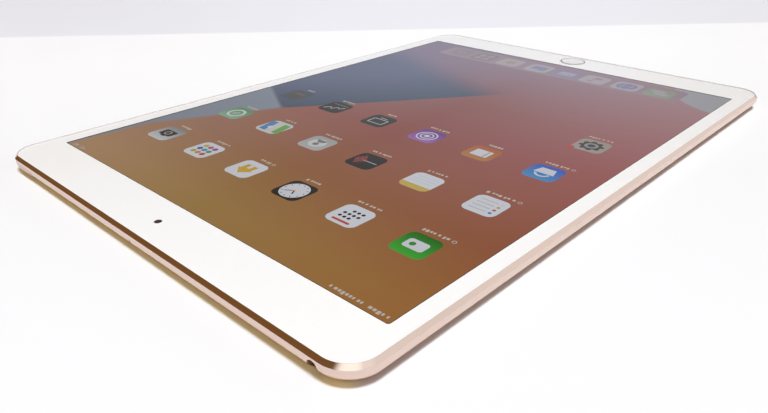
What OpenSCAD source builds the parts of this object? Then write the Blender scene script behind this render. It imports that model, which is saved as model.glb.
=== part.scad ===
// Slim tablet computer lying on its back, screen up.
// Origin: centre of the flat back. +X right, +Y to the camera end, +Z out of the screen. Millimetres.

/* [Body] */
// Width of the body
body_w = 174.1; // [172:0.1:178]
// Length of the body
body_l = 250.6; // [248:0.1:254]
// Thickness from the flat back to the top of the glass
body_t = 6.1; // [6:0.1:6.4]
// Plan radius of the body's corners
corner_r = 9.3; // [8.5:0.1:10]
// How far in from the edge the back's curve starts
curve_len = 6.5; // [6:0.1:7]
// Height at which the back's curve meets the upright side wall
curve_h = 3.5; // [3.3:0.1:3.7]
// Width of the bright chamfer round the glass, seen from above
chamfer_w = 0.95; // [0.7:0.05:1]
// Height of that chamfer
chamfer_h = 1.1; // [0.8:0.1:1.3]

/* [Display] */
// Width of the lit part of the screen
screen_w = 160.5; // [150:0.5:162]
// Length of the lit part of the screen
screen_l = 214.0; // [200:0.5:214]
// Thickness of the cover glass
glass_t = 0.55; // [0.5:0.05:0.6]

/* [Home button] */
// Outer radius of the ring round the home button
home_ring_r = 6.0; // [5.5:0.1:6.1]
// Radius of the button's cap inside the ring
home_cap_r = 5.45; // [5:0.05:5.45]
// Distance of the button's centre from the middle of the body
home_y = 116.1; // [115.9:0.1:116.5]
// How far the button travels
home_travel = 0.25; // [0.2:0.05:0.25]

/* [Edge buttons] */
// Length of the power button
power_l = 10.0; // [9:0.5:11]
// Middle of the power button along the top edge
power_x = 72.5; // [71:0.5:73]
// Length of each volume button
volume_l = 9.6; // [9:0.2:10]
// Middle of the volume up button along the right edge
volume_up_y = 98.5; // [97.5:0.5:99]
// Middle of the volume down button along the right edge
volume_down_y = 86.5; // [85.5:0.5:87]
// Height of the button caps
button_h = 1.7; // [1.5:0.1:1.8]
// How far a cap stands out of the curved side
button_proud = 0.3; // [0.2:0.05:0.3]

/* [Ports] */
// Radius of the headphone jack's bore
jack_r = 1.75; // [1.75:0.01:1.78]
// Middle of the headphone jack along the top edge
jack_x = -75.7; // [-76:0.1:-75]
// Width of the charging port's opening
port_w = 7.5; // [7:0.1:8]
// Height of the charging port's opening
port_h = 2.3; // [2:0.1:2.3]
// Number of speaker holes each side of the charging port
speaker_holes = 13; // [10:1:14]

/* [Hidden] */
$fn = 64;

half_w = body_w / 2;
half_l = body_l / 2;

// Heights of the layers, from the back up
floor_z = 0.8;
ledge_z = body_t - glass_t - 0.15;
mask_z = body_t - glass_t - 0.05;
mask_top = body_t - glass_t - 0.01;
glass_z = body_t - glass_t;
rim_z = body_t - 0.1;
bevel = 0.15;
ink_top = body_t - bevel;
tray_z = 3.5;
cell_z = 4.6;
cell_top = 5.35;

// Plan sizes of the opening for the display
rim_land = 0.05;
pocket_in = chamfer_w + rim_land;
glass_gap = 0.1;
glass_in = pocket_in + glass_gap;
ink_in = glass_in - 0.06;
wall_in = 3.4;
floor_in = 7.0;
floor_wall_z = 3.0;
inner_y = half_l - wall_in + 0.1;
tray_w = 165.5;
cable_t = 0.08;
cable_gap = 0.06;
tray_top_y = 110.0;
tray_bottom_y = -108.9;

// Colours
gold = [0.86, 0.74, 0.62];
white = [0.97, 0.97, 0.97];
black = [0.06, 0.06, 0.07];
steel = [0.72, 0.72, 0.74];
copper = [0.72, 0.45, 0.25];
board_green = [0.10, 0.22, 0.18];

// Cuts run this far past the faces they open
cut = 1;

// Edge buttons: gaps, flange, nub and the switch behind them
button_z = 2.35;
button_gap = 0.15;
flange_gap = 0.1;
flange_t = 0.7;
flange_half_h = 0.95;
nub_t = 0.5;
nub_half_h = 0.6;
switch_gap = 0.1;
switch_t = 1.3;
bracket_t = 0.4;
pocket_top_z = 3.55;
power_wall_y = inner_y;
volume_wall_x = half_w - wall_in + 0.1;

// Headphone jack, charging port and speakers
jack_z = 2.55;
jack_back_y = 110.7;
jack_end_y = 111.0;
jack_front_y = 121.0;
jack_body_w = 5.4;
jack_slot_y = [113, 116, 119];
port_z = 2.2;
port_depth = 6.9;
port_body_w = 11.4;
port_front_y = -(half_l - 3.3);
speaker_x = 40;
speaker_z = 2.4;
speaker_hole_r = 0.7;
speaker_pitch = 2.1;

// Cameras and microphones
camera_x = 75.15;
camera_y = 114.7;
camera_hole_r = 4.1;
front_camera_y = 116.1;
front_lens_r = 1.05;
mic_r = 0.45;
rear_mic_x = 64.9;
top_mic_z = 3.0;

// Edge connector
pad_z = 2.6;
pad_r = 0.85;
pad_pitch = 4.4;
connector_x = -81.7;

// Logic board and batteries
board_half_w = 16;
board_z = 1.6;
board_t = 0.8;
board_top = board_z + board_t;
board_top_y = 100.5;
board_bottom_y = -96;
board_screw_y = [-88, 2, 92];
board_screw_x = 13.6;
processor_y = 20;
shield_w = 26;
shield_t = 0.2;
shield_top = 3.3;
battery_in_x = 19.5;
battery_out_x = 79.2;
battery_top_y = 92;
battery_bottom_y = -94;
battery_z = 1.0;
battery_top = 3.35;

profile_steps = 12;

// ---- shared shapes ----

// Outline of the side wall: distance in from the body's edge, and height
function side_profile() = concat(
    [for (i = [0 : profile_steps]) let (t = 90 * i / profile_steps)
        [curve_len * (1 - sin(t)), curve_h * (1 - cos(t))]],
    [[0, rim_z - chamfer_h], [chamfer_w, rim_z]]);

// Section of a rim, measured out from the centre line of the corner arcs
function rim_section(profile, r) = concat(
    [[0, profile[0][1]]],
    [for (p = profile) [r - p[0], p[1]]],
    [[0, profile[len(profile) - 1][1]]]);

// One straight stretch of rim along +X, facing +Y, centred on x = 0
module rim_run(length, reach, section) {
    translate([length / 2, reach, 0])
        rotate([90, 0, -90])
            mirror([1, 0, 0])
                linear_extrude(length)
                    polygon(section);
}

// A closed slab with rounded corners whose side follows a profile
module profiled_slab(hw, hl, r, profile) {
    section = rim_section(profile, r);
    z0 = profile[0][1];
    z1 = profile[len(profile) - 1][1];
    for (side = [0, 180])
        rotate([0, 0, side])
            rim_run(2 * (hw - r), hl - r, section);
    for (side = [90, 270])
        rotate([0, 0, side])
            rim_run(2 * (hl - r), hw - r, section);
    for (corner = [0 : 3]) {
        sx = corner == 0 || corner == 3 ? 1 : -1;
        sy = corner < 2 ? 1 : -1;
        translate([sx * (hw - r), sy * (hl - r), 0])
            rotate([0, 0, 90 * corner])
                rotate_extrude(angle = 90)
                    polygon(section);
    }
    translate([-(hw - r), -(hl - r), z0])
        cube([2 * (hw - r), 2 * (hl - r), z1 - z0]);
}

module rounded_rect(w, l, r) {
    square([w - 2 * r, l], center = true);
    square([w, l - 2 * r], center = true);
    for (x = [-1, 1], y = [-1, 1])
        translate([x * (w / 2 - r), y * (l / 2 - r)])
            circle(r);
}

module rounded_plate(w, l, r, z0, z1) {
    translate([0, 0, z0])
        linear_extrude(z1 - z0)
            rounded_rect(w, l, r);
}

// Box given by its centre in plan and its two heights
module block(x, y, w, l, z0, z1) {
    translate([x - w / 2, y - l / 2, z0])
        cube([w, l, z1 - z0]);
}

module post(x, y, r, z0, z1) {
    translate([x, y, z0])
        cylinder(r = r, h = z1 - z0);
}

// Flat-sided pill outline
module pill(w, h) {
    square([w - h, h], center = true);
    for (x = [-1, 1])
        translate([x * (w - h) / 2, 0])
            circle(h / 2);
}

// Pill-shaped bar through the wall that faces +Y, from y0 out to y1
module pill_bar(w, h, y0, y1) {
    translate([0, y1, 0])
        rotate([90, 0, 0])
            linear_extrude(y1 - y0)
                pill(w, h);
}

module bore_y(r, y0, y1) {
    translate([0, y1, 0])
        rotate([90, 0, 0])
            cylinder(r = r, h = y1 - y0);
}

// Turns something built on the edge that faces +Y to the right-hand edge
module on_right_edge(y) {
    translate([0, y, 0])
        rotate([0, 0, -90])
            children();
}

// ---- case ----

module case_outer() {
    profiled_slab(half_w, half_l, corner_r, side_profile());
}

module case_cavity() {
    profiled_slab(half_w, half_l, corner_r,
        [[floor_in, floor_z], [wall_in, floor_wall_z], [wall_in, body_t]]);
    rounded_plate(body_w - 2 * pocket_in, body_l - 2 * pocket_in, corner_r - pocket_in,
        ledge_z, body_t + cut);
}

// Pocket behind a button on the edge that faces +Y
module button_pocket(w, wall_y, depth) {
    translate([-w / 2, wall_y - depth, floor_z])
        cube([w, depth, pocket_top_z - floor_z]);
}

module button_opening(cap_l, wall_y, reach) {
    translate([0, 0, button_z])
        pill_bar(cap_l + 2 * button_gap, button_h + 2 * button_gap, wall_y - 0.5, reach + cut);
}

module speaker_openings() {
    for (side = [-1, 1], i = [0 : speaker_holes - 1])
        translate([side * speaker_x + (i - (speaker_holes - 1) / 2) * speaker_pitch, 0, speaker_z])
            rotate([90, 0, 0])
                translate([0, 0, half_l - wall_in - cut])
                    cylinder(r = speaker_hole_r, h = wall_in + 2 * cut, $fn = 24);
}

module board_bosses(r, z0, z1) {
    for (x = [-board_screw_x, board_screw_x], y = board_screw_y)
        post(x, y, r, z0, z1);
}

// Three pins through the left-hand wall, starting this far from the centre line
module edge_pins(r, from_x) {
    for (i = [-1 : 1])
        translate([-from_x, i * pad_pitch, pad_z])
            rotate([0, -90, 0])
                cylinder(r = r, h = 5);
}

module rear_case() color(gold)
    difference() {
        union() {
            difference() {
                case_outer();
                case_cavity();
            }
            board_bosses(1.6, floor_z - 0.1, board_z);
        }
        board_bosses(0.75, floor_z, board_z + cut);
        // headphone jack
        translate([jack_x, 0, jack_z])
            bore_y(jack_r, jack_front_y - cut, half_l + cut);
        block(jack_x, (jack_back_y + jack_front_y) / 2, jack_body_w + 1.8,
            jack_front_y - jack_back_y + 0.1, 0.55, ledge_z + cut);
        // power button
        translate([power_x, 0, 0]) {
            button_pocket(18.4, power_wall_y, 8);
            button_opening(power_l, power_wall_y, half_l);
        }
        // volume buttons
        for (y = [volume_up_y, volume_down_y])
            on_right_edge(y)
                button_opening(volume_l, volume_wall_x, half_w);
        on_right_edge((volume_up_y + volume_down_y) / 2)
            button_pocket(27, volume_wall_x, 3.6);
        // charging port
        block(0, port_front_y + 4, port_body_w + 0.8, 8, floor_z, 3.6);
        translate([0, 0, port_z])
            rotate([0, 0, 180])
                pill_bar(port_w, port_h, -port_front_y - cut, half_l + cut);
        // speakers
        for (side = [-1, 1])
            block(side * speaker_x, port_front_y + 3, 46.4, 6, floor_z, ledge_z + cut);
        speaker_openings();
        // room for the home button's flange in the ledge
        post(0, -home_y, home_flange_r + 0.4, 3.4, ledge_z + cut);
        // rear camera, microphones
        post(camera_x, camera_y, camera_hole_r, -cut, floor_z + cut);
        post(rear_mic_x, camera_y, mic_r, -cut, floor_z + cut);
        translate([0, 0, top_mic_z])
            bore_y(mic_r, inner_y - cut, half_l + cut);
        block(0, inner_y - 1.3, 3.8, 2.6, 2.0, 4.2);
        // edge connector
        block(connector_x, 0, 3.6, 17.4, 1.3, 3.5);
        edge_pins(pad_r + 0.08, 83);
    }

// ---- display ----

module cover_glass() color([0.85, 0.90, 0.92, 0.3])
    difference() {
        profiled_slab(half_w - glass_in, half_l - glass_in, corner_r - glass_in,
            [[0, glass_z], [0, body_t - bevel], [bevel, body_t]]);
        post(0, -home_y, home_ring_r + 0.1, glass_z - cut, body_t + cut);
    }

// Ink under the glass, turned up round its ground edge
module bezel_mask() color(white)
    difference() {
        rounded_plate(body_w - 2 * ink_in, body_l - 2 * ink_in, corner_r - ink_in, mask_z, ink_top);
        rounded_plate(body_w - 2 * glass_in + 0.02, body_l - 2 * glass_in + 0.02,
            corner_r - glass_in + 0.01, mask_top, ink_top + cut);
        rounded_plate(screen_w, screen_l, 0.8, mask_z - cut, glass_z + cut);
        post(0, -home_y, home_ring_r + 0.1, mask_z - cut, glass_z + cut);
        post(0, front_camera_y, front_lens_r + 0.1, mask_z - cut, glass_z + cut);
    }

module display_adhesive() color([0.2, 0.2, 0.22])
    difference() {
        rounded_plate(body_w - 2 * glass_in - 0.4, body_l - 2 * glass_in - 0.4,
            corner_r - glass_in - 0.2, ledge_z, mask_z);
        rounded_plate(body_w - 2 * wall_in + 0.4, body_l - 2 * wall_in + 0.4,
            corner_r - wall_in, ledge_z - cut, mask_z + cut);
        post(0, -home_y, home_flange_r + 0.4, ledge_z - cut, mask_z + cut);
    }

module optical_adhesive() color([0.9, 0.95, 1, 0.3])
    rounded_plate(screen_w - 0.1, screen_l - 0.1, 0.75, cell_top, glass_z);

module lcd_panel() color(black)
    rounded_plate(screen_w + 3.5, screen_l + 2.8, 0.75, cell_z, cell_top);

module backlight_tray() color(steel)
    difference() {
        translate([0, (tray_top_y + tray_bottom_y) / 2, 0])
            rounded_plate(tray_w, tray_top_y - tray_bottom_y, 1.5, tray_z, cell_z + 0.5);
        rounded_plate(screen_w + 3.6, screen_l + 2.9, 0.8, cell_z, cell_top);
    }

// Flat cable lying under the backlight tray, with its connector on the logic board
module board_cable(x, y, w, l) {
    block(x, y, w, l, tray_z - cable_gap - cable_t, tray_z - cable_gap);
    block(x, y - l / 2 + 2, w, 3.4, board_top, tray_z - cable_gap - cable_t);
}

module display_flex() color(copper)
    board_cable(-7, 62, 9, 30);

module touch_flex() color(copper)
    board_cable(8, 62, 6, 26);

// ---- home button ----

home_cap_z = glass_z - 0.3;
home_cap_top = body_t - 0.15;
home_dish_depth = 0.14;
home_dish_steps = 10;
home_ring_z = glass_z - 0.45;
home_ring_top = body_t - 0.1;
home_carrier_z = home_ring_z - 0.35;
home_flange_r = 6.8;
home_flange_top = mask_z - 0.1;
home_nub_z = home_carrier_z - 0.15;
home_plate_z = 3.55;
home_plate_t = 0.2;
home_plate_top = home_plate_z + home_plate_t;

// Height of the cap's top at a distance from its centre: a shallow dish for the fingertip
function home_dish(r) = home_cap_top - home_dish_depth * (1 - pow(r / home_cap_r, 2));

module home_button() color(white)
    translate([0, -home_y, 0])
        rotate_extrude()
            polygon(concat(
                [[0, home_cap_z], [home_cap_r, home_cap_z]],
                [for (i = [home_dish_steps : -1 : 0])
                    let (r = home_cap_r * i / home_dish_steps) [r, home_dish(r)]]));

module home_button_ring() color(gold)
    translate([0, -home_y, 0])
        rotate_extrude()
            polygon([[home_cap_r + 0.03, home_ring_z], [home_ring_r, home_ring_z],
                [home_ring_r, home_ring_top - 0.1], [home_ring_r - 0.1, home_ring_top],
                [home_cap_r + 0.23, home_ring_top], [home_cap_r + 0.03, home_cap_top - 0.05]]);

module home_button_carrier() color(steel)
    translate([0, -home_y, 0])
        rotate_extrude()
            polygon([[0, home_nub_z], [1.2, home_nub_z], [1.2, home_carrier_z],
                [home_flange_r, home_carrier_z], [home_flange_r, home_flange_top],
                [home_ring_r + 0.05, home_flange_top], [home_ring_r + 0.05, home_ring_z],
                [home_cap_r, home_ring_z], [home_cap_r, home_cap_z], [0, home_cap_z]]);

module home_button_switch() color(steel)
    translate([0, -home_y, home_plate_top]) {
        block(0, 0, 4.6, 4.6, 0, 0.22);
        cylinder(r = 1.5, h = home_nub_z - home_travel - 0.06 - home_plate_top);
    }

module home_button_bracket() color(steel)
    translate([0, -home_y, 0]) {
        block(0, 0, 26, 11, home_plate_z, home_plate_top);
        for (side = [-1, 1])
            block(side * 12.5, 0, 1, 11, home_plate_z, mask_z);
    }

module home_button_flex() color(copper)
    block(8.6, -105.4, 2.4, 17.6, tray_z - cable_gap - cable_t, tray_z - cable_gap);

// ---- edge buttons ----

// Cap with its flange and nub, on the edge that faces +Y
module edge_button(cap_l, wall_y, reach) {
    flange_y = wall_y - flange_gap;
    intersection() {
        translate([0, 0, button_z])
            pill_bar(cap_l, button_h, flange_y - flange_t / 2, reach);
        translate([0, button_proud, 0])
            rim_run(cap_l + 4, reach - corner_r, rim_section(side_profile(), corner_r));
    }
    block(0, flange_y - flange_t / 2, cap_l + 1.6, flange_t,
        button_z - flange_half_h, button_z + flange_half_h);
    block(0, flange_y - flange_t - nub_t / 2, 2.4, nub_t,
        button_z - nub_half_h, button_z + nub_half_h);
}

// Where a switch's tip stands, clear of the nub at the end of its travel
function switch_tip(wall_y) = wall_y - flange_gap - flange_t - nub_t - button_proud - switch_gap;

// Dome switch behind a button: its back and the tip of its dome
module edge_switch(wall_y) {
    tip = switch_tip(wall_y);
    dome_t = 0.2;
    block(0, tip - (dome_t + switch_t) / 2, 4.2, switch_t - dome_t, button_z - 0.9, button_z + 0.9);
    translate([0, 0, button_z])
        bore_y(0.7, tip - dome_t - 0.1, tip);
}

// Plate that the switches are fixed to
module switch_plate(w, wall_y) {
    block(0, switch_tip(wall_y) - switch_t - bracket_t / 2, w, bracket_t, floor_z, pocket_top_z - 0.15);
}

module power_button() color(gold)
    translate([power_x, 0, 0])
        edge_button(power_l, power_wall_y, half_l);

module power_button_switch() color(black)
    translate([power_x, 0, 0])
        edge_switch(power_wall_y);

module power_switch_bracket() color(steel)
    translate([power_x, 0, 0])
        switch_plate(17, power_wall_y);

module volume_up_button() color(gold)
    on_right_edge(volume_up_y)
        edge_button(volume_l, volume_wall_x, half_w);

module volume_down_button() color(gold)
    on_right_edge(volume_down_y)
        edge_button(volume_l, volume_wall_x, half_w);

module volume_button_switches() color(black)
    for (y = [volume_up_y, volume_down_y])
        on_right_edge(y)
            edge_switch(volume_wall_x);

module volume_switch_bracket() color(steel)
    on_right_edge((volume_up_y + volume_down_y) / 2)
        switch_plate(26, volume_wall_x);

module button_flex() color(copper) {
    block(46, 117.8, 68, 1.0, 0.9, 1.0);
    block(79.7, 96, 0.8, 44, 0.9, 1.0);
    block(12.7, 109.6, 1.4, 17, 0.9, 1.0);
}

// ---- cameras, sensor and microphones ----

module front_camera_module() color(black) {
    block(0, front_camera_y, 7, 6.6, 1.6, 4.4);
    post(0, front_camera_y, 2.4, 4.4, 4.9);
}

module front_camera_lens() color([0.10, 0.12, 0.20])
    post(0, front_camera_y, front_lens_r, 4.9, mask_z - 0.05);

module ambient_light_sensor() color(black)
    block(14, front_camera_y, 2.6, 1.6, 4.5, mask_z - 0.02);

module rear_camera_module() color(black) {
    block(camera_x, camera_y, 7.6, 7.6, 1.7, 5.0);
    post(camera_x, camera_y, 2.6, 0.65, 1.7);
}

module rear_camera_ring() color(gold)
    translate([camera_x, camera_y, 0])
        rotate_extrude()
            polygon([[3.55, 0.12], [3.65, 0], [camera_hole_r - 0.02, 0],
                [camera_hole_r - 0.02, floor_z], [2.9, floor_z], [2.9, 0.62], [3.55, 0.62]]);

module rear_camera_window() color([0.08, 0.09, 0.12])
    post(camera_x, camera_y, 3.53, 0.12, 0.6);

module top_microphone() color(steel)
    block(0, inner_y - 1.2, 3.2, 2.2, 2.2, 3.8);

module rear_microphone() color(steel)
    block(rear_mic_x, camera_y, 3.2, 2.6, floor_z, 1.7);

// ---- ports ----

module headphone_jack_housing() color(white)
    difference() {
        block(jack_x, (jack_back_y + jack_front_y) / 2, jack_body_w, jack_front_y - jack_back_y, 0.57, 4.7);
        translate([jack_x, 0, jack_z])
            bore_y(jack_r, jack_end_y, jack_front_y + cut);
        for (y = jack_slot_y)
            block(jack_x + 2.6, y, 1.8, 1.2, jack_z - 0.5, jack_z + 0.5);
    }

module headphone_jack_contacts() color([0.85, 0.70, 0.35])
    for (y = jack_slot_y)
        block(jack_x + 2.22, y, 0.7, 1.0, jack_z - 0.4, jack_z + 0.4);

module charging_port_housing() color([0.75, 0.75, 0.77])
    translate([0, 0, port_z])
        rotate([0, 0, 180])
            difference() {
                translate([-port_body_w / 2, -port_front_y - port_depth - 0.45, floor_z - port_z])
                    cube([port_body_w, port_depth + 0.4, 3.5 - floor_z]);
                pill_bar(port_w, port_h, -port_front_y - port_depth, -port_front_y + cut);
            }

module charging_port_contacts() color([0.85, 0.70, 0.35])
    for (i = [0 : 7])
        block((i - 3.5) * 0.72, port_front_y + port_depth - 1.5, 0.32, 2.4, port_z - 0.12, port_z + 0.12);

module charging_port_flex() color(copper)
    block(0, -106.2, 10, 15.4, 1.0, 1.15);

module speaker(side) {
    difference() {
        block(side * speaker_x, -116.4, 46, 10.4, 0.9, 4.9);
        block(side * speaker_x, -121.2, 27.6, 1.2, 1.2, 4.2);
    }
    translate([side * (speaker_x + 9), -116.2, 4.9])
        linear_extrude(0.15)
            pill(17, 7);
}

module speaker_left() color(black)
    speaker(-1);

module speaker_right() color(black)
    speaker(1);

module speaker_meshes() color([0.15, 0.15, 0.16])
    for (side = [-1, 1])
        block(side * speaker_x, port_front_y + 0.15, 28, 0.16, 1.0, 4.0);

// ---- electronics ----

module logic_board() color(board_green)
    difference() {
        block(0, (board_top_y + board_bottom_y) / 2, 2 * board_half_w, board_top_y - board_bottom_y,
            board_z, board_top);
        board_bosses(0.8, board_z - cut, board_top + cut);
    }

module processor() color([0.12, 0.12, 0.13])
    block(0, processor_y, 14, 14, board_top, board_top + 0.7);

// Pressed tin lid over the processor
module processor_shield() color(steel)
    difference() {
        block(0, processor_y, shield_w, shield_w, board_top, shield_top);
        block(0, processor_y, shield_w - 2 * shield_t, shield_w - 2 * shield_t,
            board_top - cut, shield_top - shield_t);
    }

module circuit_chips() color([0.16, 0.16, 0.17]) {
    for (i = [0 : 2])
        block(-6, -18 - 20 * i, 12, 14, board_top, board_top + 0.6);
    for (i = [0 : 4])
        block(9, -12 - 14 * i, 6, 7, board_top, board_top + 0.5);
}

module board_screws() color(steel)
    for (x = [-board_screw_x, board_screw_x], y = board_screw_y)
        difference() {
            union() {
                post(x, y, 0.7, floor_z + 0.1, board_top + 0.1);
                post(x, y, 1.3, board_top, board_top + 0.5);
            }
            translate([x, y, board_top + 0.2])
                cylinder(r = 0.6, h = cut, $fn = 6);
        }

module battery_cell(side)
    translate([side * (battery_in_x + battery_out_x) / 2, (battery_top_y + battery_bottom_y) / 2, 0])
        rounded_plate(battery_out_x - battery_in_x, battery_top_y - battery_bottom_y, 2,
            battery_z, battery_top);

module battery_cell_left() color([0.16, 0.17, 0.19])
    battery_cell(-1);

module battery_cell_right() color([0.16, 0.17, 0.19])
    battery_cell(1);

module battery_board() color(board_green) {
    block(0, -99.4, 60, 4, 1.6, 2.2);
    for (side = [-1, 1])
        block(side * 24, -95.7, 6, 3.4, 1.8, 1.9);
}

module battery_adhesive() color([0.85, 0.85, 0.80])
    for (side = [-1, 1], x = [28, 49, 70])
        block(side * x, -1, 12, 176, floor_z, battery_z);

module wifi_antenna(x)
    block(x, 116, 26, 7.6, 4.5, 5.0);

module wifi_antenna_left() color(copper)
    wifi_antenna(-44);

module wifi_antenna_right() color(copper)
    wifi_antenna(44);

// ---- edge connector and magnets ----

module edge_connector_body() color(white)
    block(connector_x, 0, 3.2, 17, 1.4, 3.4);

module edge_connector_pads() color([0.90, 0.80, 0.68])
    intersection() {
        edge_pins(pad_r, 83.3);
        translate([0.04, 0, 0])
            rotate([0, 0, 90])
                rim_run(24, half_w - corner_r, rim_section(side_profile(), corner_r));
    }

module cover_magnets() color([0.60, 0.60, 0.63])
    for (side = [-1, 1], i = [0 : 4])
        block(-81.2, side * (18 + 15 * i), 1.9, 11, 2.25, 3.4);

// ---- what is drawn ----

rear_case();
cover_glass();
bezel_mask();
display_adhesive();
optical_adhesive();
lcd_panel();
backlight_tray();
display_flex();
touch_flex();
home_button();
home_button_ring();
home_button_carrier();
home_button_switch();
home_button_bracket();
home_button_flex();
power_button();
power_button_switch();
power_switch_bracket();
volume_up_button();
volume_down_button();
volume_button_switches();
volume_switch_bracket();
button_flex();
front_camera_module();
front_camera_lens();
ambient_light_sensor();
rear_camera_module();
rear_camera_ring();
rear_camera_window();
top_microphone();
rear_microphone();
headphone_jack_housing();
headphone_jack_contacts();
charging_port_housing();
charging_port_contacts();
charging_port_flex();
speaker_left();
speaker_right();
speaker_meshes();
logic_board();
processor();
processor_shield();
circuit_chips();
board_screws();
battery_cell_left();
battery_cell_right();
battery_board();
battery_adhesive();
wifi_antenna_left();
wifi_antenna_right();
edge_connector_body();
edge_connector_pads();
cover_magnets();
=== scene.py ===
"""The looks of the slim tablet computer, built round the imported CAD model. Metres, in the CAD frame."""

import math
import random

import bmesh
import bpy
from mathutils import Matrix, Vector


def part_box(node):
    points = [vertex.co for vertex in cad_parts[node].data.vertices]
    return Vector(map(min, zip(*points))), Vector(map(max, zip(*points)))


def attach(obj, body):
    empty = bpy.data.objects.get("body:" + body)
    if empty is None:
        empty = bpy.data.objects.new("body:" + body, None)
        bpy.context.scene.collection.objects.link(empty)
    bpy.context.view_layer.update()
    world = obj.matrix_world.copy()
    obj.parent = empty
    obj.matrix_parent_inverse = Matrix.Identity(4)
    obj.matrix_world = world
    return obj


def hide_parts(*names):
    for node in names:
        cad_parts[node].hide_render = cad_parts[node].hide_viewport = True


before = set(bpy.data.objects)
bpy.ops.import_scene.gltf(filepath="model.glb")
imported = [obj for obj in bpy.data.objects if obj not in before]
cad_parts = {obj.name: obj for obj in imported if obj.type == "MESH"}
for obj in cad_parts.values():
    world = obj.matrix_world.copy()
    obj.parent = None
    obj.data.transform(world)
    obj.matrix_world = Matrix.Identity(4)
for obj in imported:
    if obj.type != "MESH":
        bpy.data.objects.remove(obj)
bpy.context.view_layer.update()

MM = 0.001
ROOT = "tablet_body"


# ---------------------------------------------------------------- material helpers

class Wiring:
    """Short ways to add nodes to a tree and wire them."""

    def __init__(self, tree):
        self.tree = tree

    def feed(self, socket, value):
        if isinstance(value, bpy.types.NodeSocket):
            self.tree.links.new(value, socket)
        elif hasattr(value, "__len__") and len(value) == 3 and socket.type == "RGBA":
            socket.default_value = (*value, 1)
        elif value is not None:
            socket.default_value = value

    def node(self, kind, **settings):
        made = self.tree.nodes.new("ShaderNode" + kind)
        for name, value in settings.items():
            setattr(made, name, value)
        return made

    def coordinates(self, output="Object"):
        return self.node("TexCoord").outputs[output]

    def math(self, operation, first, second=None, clamp=False):
        made = self.node("Math", operation=operation, use_clamp=clamp)
        self.feed(made.inputs[0], first)
        if second is not None:
            self.feed(made.inputs[1], second)
        return made.outputs[0]

    def split(self, vector):
        made = self.node("SeparateXYZ")
        self.feed(made.inputs[0], vector)
        return made.outputs

    def scaled(self, vector, scale):
        made = self.node("Mapping")
        self.feed(made.inputs["Vector"], vector)
        made.inputs["Scale"].default_value = scale
        return made.outputs[0]

    def noise(self, scale, detail=3.0, roughness=0.55, vector=None):
        made = self.node("TexNoise")
        self.feed(made.inputs["Vector"], vector or self.coordinates())
        made.inputs["Scale"].default_value = scale
        made.inputs["Detail"].default_value = detail
        made.inputs["Roughness"].default_value = roughness
        return made.outputs["Fac"]

    def spread(self, value, from_low, from_high, to_low, to_high, smooth=False):
        made = self.node("MapRange", clamp=True)
        made.interpolation_type = "SMOOTHSTEP" if smooth else "LINEAR"
        for socket, number in zip(made.inputs[:5], (value, from_low, from_high, to_low, to_high)):
            self.feed(socket, number)
        return made.outputs[0]

    def ramp(self, value, stops):
        made = self.node("ValToRGB")
        self.feed(made.inputs[0], value)
        elements = made.color_ramp.elements
        while len(elements) < len(stops):
            elements.new(0.5)
        for element, (place, colour) in zip(elements, stops):
            element.position = place
            element.color = (*colour, 1)
        return made.outputs[0]

    def mix(self, share, first, second):
        made = self.node("Mix", data_type="RGBA")
        self.feed(made.inputs[0], share)
        self.feed(made.inputs[6], first)
        self.feed(made.inputs[7], second)
        return made.outputs[2]

    def bump(self, height, distance, strength=1.0):
        made = self.node("Bump")
        self.feed(made.inputs["Height"], height)
        made.inputs["Distance"].default_value = distance
        made.inputs["Strength"].default_value = strength
        return made.outputs[0]


class Recipe(Wiring):
    """A new node material with one Principled shader."""

    def __init__(self, name, **values):
        self.material = bpy.data.materials.new(name)
        self.material.use_nodes = True
        super().__init__(self.material.node_tree)
        self.shader = self.tree.nodes["Principled BSDF"]
        self.output = self.tree.nodes["Material Output"]
        for socket, value in values.items():
            self.set(socket, value)

    def set(self, socket, value):
        """Wires a socket of the Principled shader, or sets it to a plain value."""
        self.feed(self.shader.inputs[socket.replace("_", " ")], value)


def shade(colour, by):
    return tuple(min(1.0, part * by) for part in colour)


def linear(red, green, blue):
    """A colour given as display values from 0 to 255."""
    return tuple(
        ((part / 255 + 0.055) / 1.055) ** 2.4 if part > 10 else part / 3295
        for part in (red, green, blue)
    )


# ---------------------------------------------------------------- materials of the CAD nodes

GOLD = (0.765, 0.600, 0.530)
# painted shade: a yellower, slightly darker gold laid on the lower sides and the back
GOLD_PAINTED_UNDER_SHADE = (0.765, 0.585, 0.455)
WALL_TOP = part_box("rear_case")[1].z


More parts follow.
